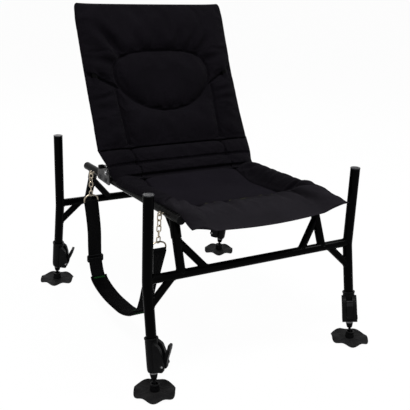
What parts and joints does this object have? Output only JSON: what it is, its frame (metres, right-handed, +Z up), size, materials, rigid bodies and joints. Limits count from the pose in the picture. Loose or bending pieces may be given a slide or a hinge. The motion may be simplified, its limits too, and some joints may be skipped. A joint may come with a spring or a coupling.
{
  "type": "folding fishing chair",
  "caption": "Low fishing chair: welded tube base on four telescopic legs with swivel mud feet, slung padded seat, fold-down padded back and a chain-hung carrying strap.",
  "frame": {"origin": "on the ground under the middle of the base", "axes": "+Z up; the chair faces -Y; the sitter's left hand is at +X"},
  "size_m": [0.687, 0.7942, 0.8268],
  "materials": {
    "black_paint": "satin black powder coat",
    "grey_paint": "satin grey",
    "zinc_steel": "zinc plated",
    "black_plastic": "moulded, fine grain",
    "grey_plastic": "moulded",
    "foot_rubber": "matt",
    "pad_fabric": "woven polyester, padded",
    "webbing": "woven webbing",
    "chain_metal": "nickel plated"
  },
  "bodies": {
    "base": {"leg_tube_front_left": "black_paint", "leg_cap_front_left": "grey_plastic", "gusset_front_left": "black_paint", "truss_front_left": "black_paint", "collar_front_left": "black_plastic", "lever_pin_front_left": "zinc_steel", "leg_tube_front_right": "black_paint", "leg_cap_front_right": "grey_plastic", "gusset_front_right": "black_paint", "truss_front_right": "black_paint", "collar_front_right": "black_plastic", "lever_pin_front_right": "zinc_steel", "leg_tube_rear_left": "black_paint", "leg_cap_rear_left": "grey_plastic", "gusset_rear_left": "black_paint", "truss_rear_left": "black_paint", "collar_rear_left": "black_plastic", "lever_pin_rear_left": "zinc_steel", "leg_tube_rear_right": "black_paint", "leg_cap_rear_right": "grey_plastic", "gusset_rear_right": "black_paint", "truss_rear_right": "black_paint", "collar_rear_right": "black_plastic", "lever_pin_rear_right": "zinc_steel", "crossbar_front": "black_paint", "crossbar_rear": "black_paint", "side_rail_left": "black_paint", "side_rail_right": "black_paint", "hinge_plate_left": "grey_paint", "hinge_plate_right": "grey_paint", "pivot_bolt_left": "zinc_steel", "pivot_bolt_right": "zinc_steel", "stop_pin_left": "black_plastic", "stop_pin_right": "black_plastic", "seat_pad": "pad_fabric", "lumbar_roll": "pad_fabric", "carry_strap": "webbing", "shoulder_pad": "pad_fabric", "strap_slider": "black_plastic", "chain_rear": "chain_metal", "chain_front": "chain_metal"},
    "backrest": {"back_frame": "black_paint", "back_pad": "pad_fabric"},
    "lower_leg_front_left": {"inner_leg_front_left": "grey_paint"},
    "clamp_lever_front_left": {"cam_lever_front_left": "black_plastic"},
    "ankle_front_left": {"foot_socket_front_left": "black_plastic"},
    "foot_front_left": {"foot_disc_front_left": "foot_rubber"},
    "lower_leg_front_right": {"inner_leg_front_right": "grey_paint"},
    "clamp_lever_front_right": {"cam_lever_front_right": "black_plastic"},
    "ankle_front_right": {"foot_socket_front_right": "black_plastic"},
    "foot_front_right": {"foot_disc_front_right": "foot_rubber"},
    "lower_leg_rear_left": {"inner_leg_rear_left": "grey_paint"},
    "clamp_lever_rear_left": {"cam_lever_rear_left": "black_plastic"},
    "ankle_rear_left": {"foot_socket_rear_left": "black_plastic"},
    "foot_rear_left": {"foot_disc_rear_left": "foot_rubber"},
    "lower_leg_rear_right": {"inner_leg_rear_right": "grey_paint"},
    "clamp_lever_rear_right": {"cam_lever_rear_right": "black_plastic"},
    "ankle_rear_right": {"foot_socket_rear_right": "black_plastic"},
    "foot_rear_right": {"foot_disc_rear_right": "foot_rubber"}
  },
  "joints": [
    {"name": "back_fold", "type": "hinge", "parent": "base", "child": "backrest", "pos_m": [0, 0.11, 0.39964], "axis": [1, 0, 0], "range_deg": [0, 95], "deforming": ["lumbar_roll"]},
    {"name": "leg_slide_front_left", "type": "slide", "parent": "base", "child": "lower_leg_front_left", "axis": [0, -0.1882, -0.9821], "range_m": [0, 0.145]},
    {"name": "lever_open_front_left", "type": "hinge", "parent": "base", "child": "clamp_lever_front_left", "pos_m": [0.27515, -0.36019, 0.07321], "axis": [0.7986, -0.5911, 0.1133], "range_deg": [0, 100]},
    {"name": "foot_tilt_front_left", "type": "hinge", "parent": "lower_leg_front_left", "child": "ankle_front_left", "pos_m": [0.292, -0.34877, 0.014], "axis": [1, 0, 0], "range_deg": [-15, 15]},
    {"name": "foot_turn_front_left", "type": "hinge", "parent": "ankle_front_left", "child": "foot_front_left", "pos_m": [0.292, -0.34877, 0.003], "axis": [0, 0, 1], "continuous": true},
    {"name": "leg_slide_front_right", "type": "slide", "parent": "base", "child": "lower_leg_front_right", "axis": [0, -0.1882, -0.9821], "range_m": [0, 0.145]},
    {"name": "lever_open_front_right", "type": "hinge", "parent": "base", "child": "clamp_lever_front_right", "pos_m": [-0.2722, -0.35767, 0.07273], "axis": [0.7071, 0.6945, -0.1331], "range_deg": [0, 100]},
    {"name": "foot_tilt_front_right", "type": "hinge", "parent": "lower_leg_front_right", "child": "ankle_front_right", "pos_m": [-0.292, -0.34877, 0.014], "axis": [1, 0, 0], "range_deg": [-15, 15]},
    {"name": "foot_turn_front_right", "type": "hinge", "parent": "ankle_front_right", "child": "foot_front_right", "pos_m": [-0.292, -0.34877, 0.003], "axis": [0, 0, 1], "continuous": true},
    {"name": "leg_slide_rear_left", "type": "slide", "parent": "base", "child": "lower_leg_rear_left", "axis": [0, 0.1882, -0.9821], "range_m": [0, 0.145]},
    {"name": "lever_open_rear_left", "type": "hinge", "parent": "base", "child": "clamp_lever_rear_left", "pos_m": [0.2722, 0.35767, 0.07273], "axis": [-0.7071, -0.6945, -0.1331], "range_deg": [0, 100]},
    {"name": "foot_tilt_rear_left", "type": "hinge", "parent": "lower_leg_rear_left", "child": "ankle_rear_left", "pos_m": [0.292, 0.34877, 0.014], "axis": [1, 0, 0], "range_deg": [-15, 15]},
    {"name": "foot_turn_rear_left", "type": "hinge", "parent": "ankle_rear_left", "child": "foot_rear_left", "pos_m": [0.292, 0.34877, 0.003], "axis": [0, 0, 1], "continuous": true},
    {"name": "leg_slide_rear_right", "type": "slide", "parent": "base", "child": "lower_leg_rear_right", "axis": [0, 0.1882, -0.9821], "range_m": [0, 0.145]},
    {"name": "lever_open_rear_right", "type": "hinge", "parent": "base", "child": "clamp_lever_rear_right", "pos_m": [-0.26775, 0.32448, 0.06636], "axis": [0.5, 0.8505, 0.163], "range_deg": [0, 100]},
    {"name": "foot_tilt_rear_right", "type": "hinge", "parent": "lower_leg_rear_right", "child": "ankle_rear_right", "pos_m": [-0.292, 0.34877, 0.014], "axis": [1, 0, 0], "range_deg": [-15, 15]},
    {"name": "foot_turn_rear_right", "type": "hinge", "parent": "ankle_rear_right", "child": "foot_rear_right", "pos_m": [-0.292, 0.34877, 0.003], "axis": [0, 0, 1], "continuous": true}
  ]
}
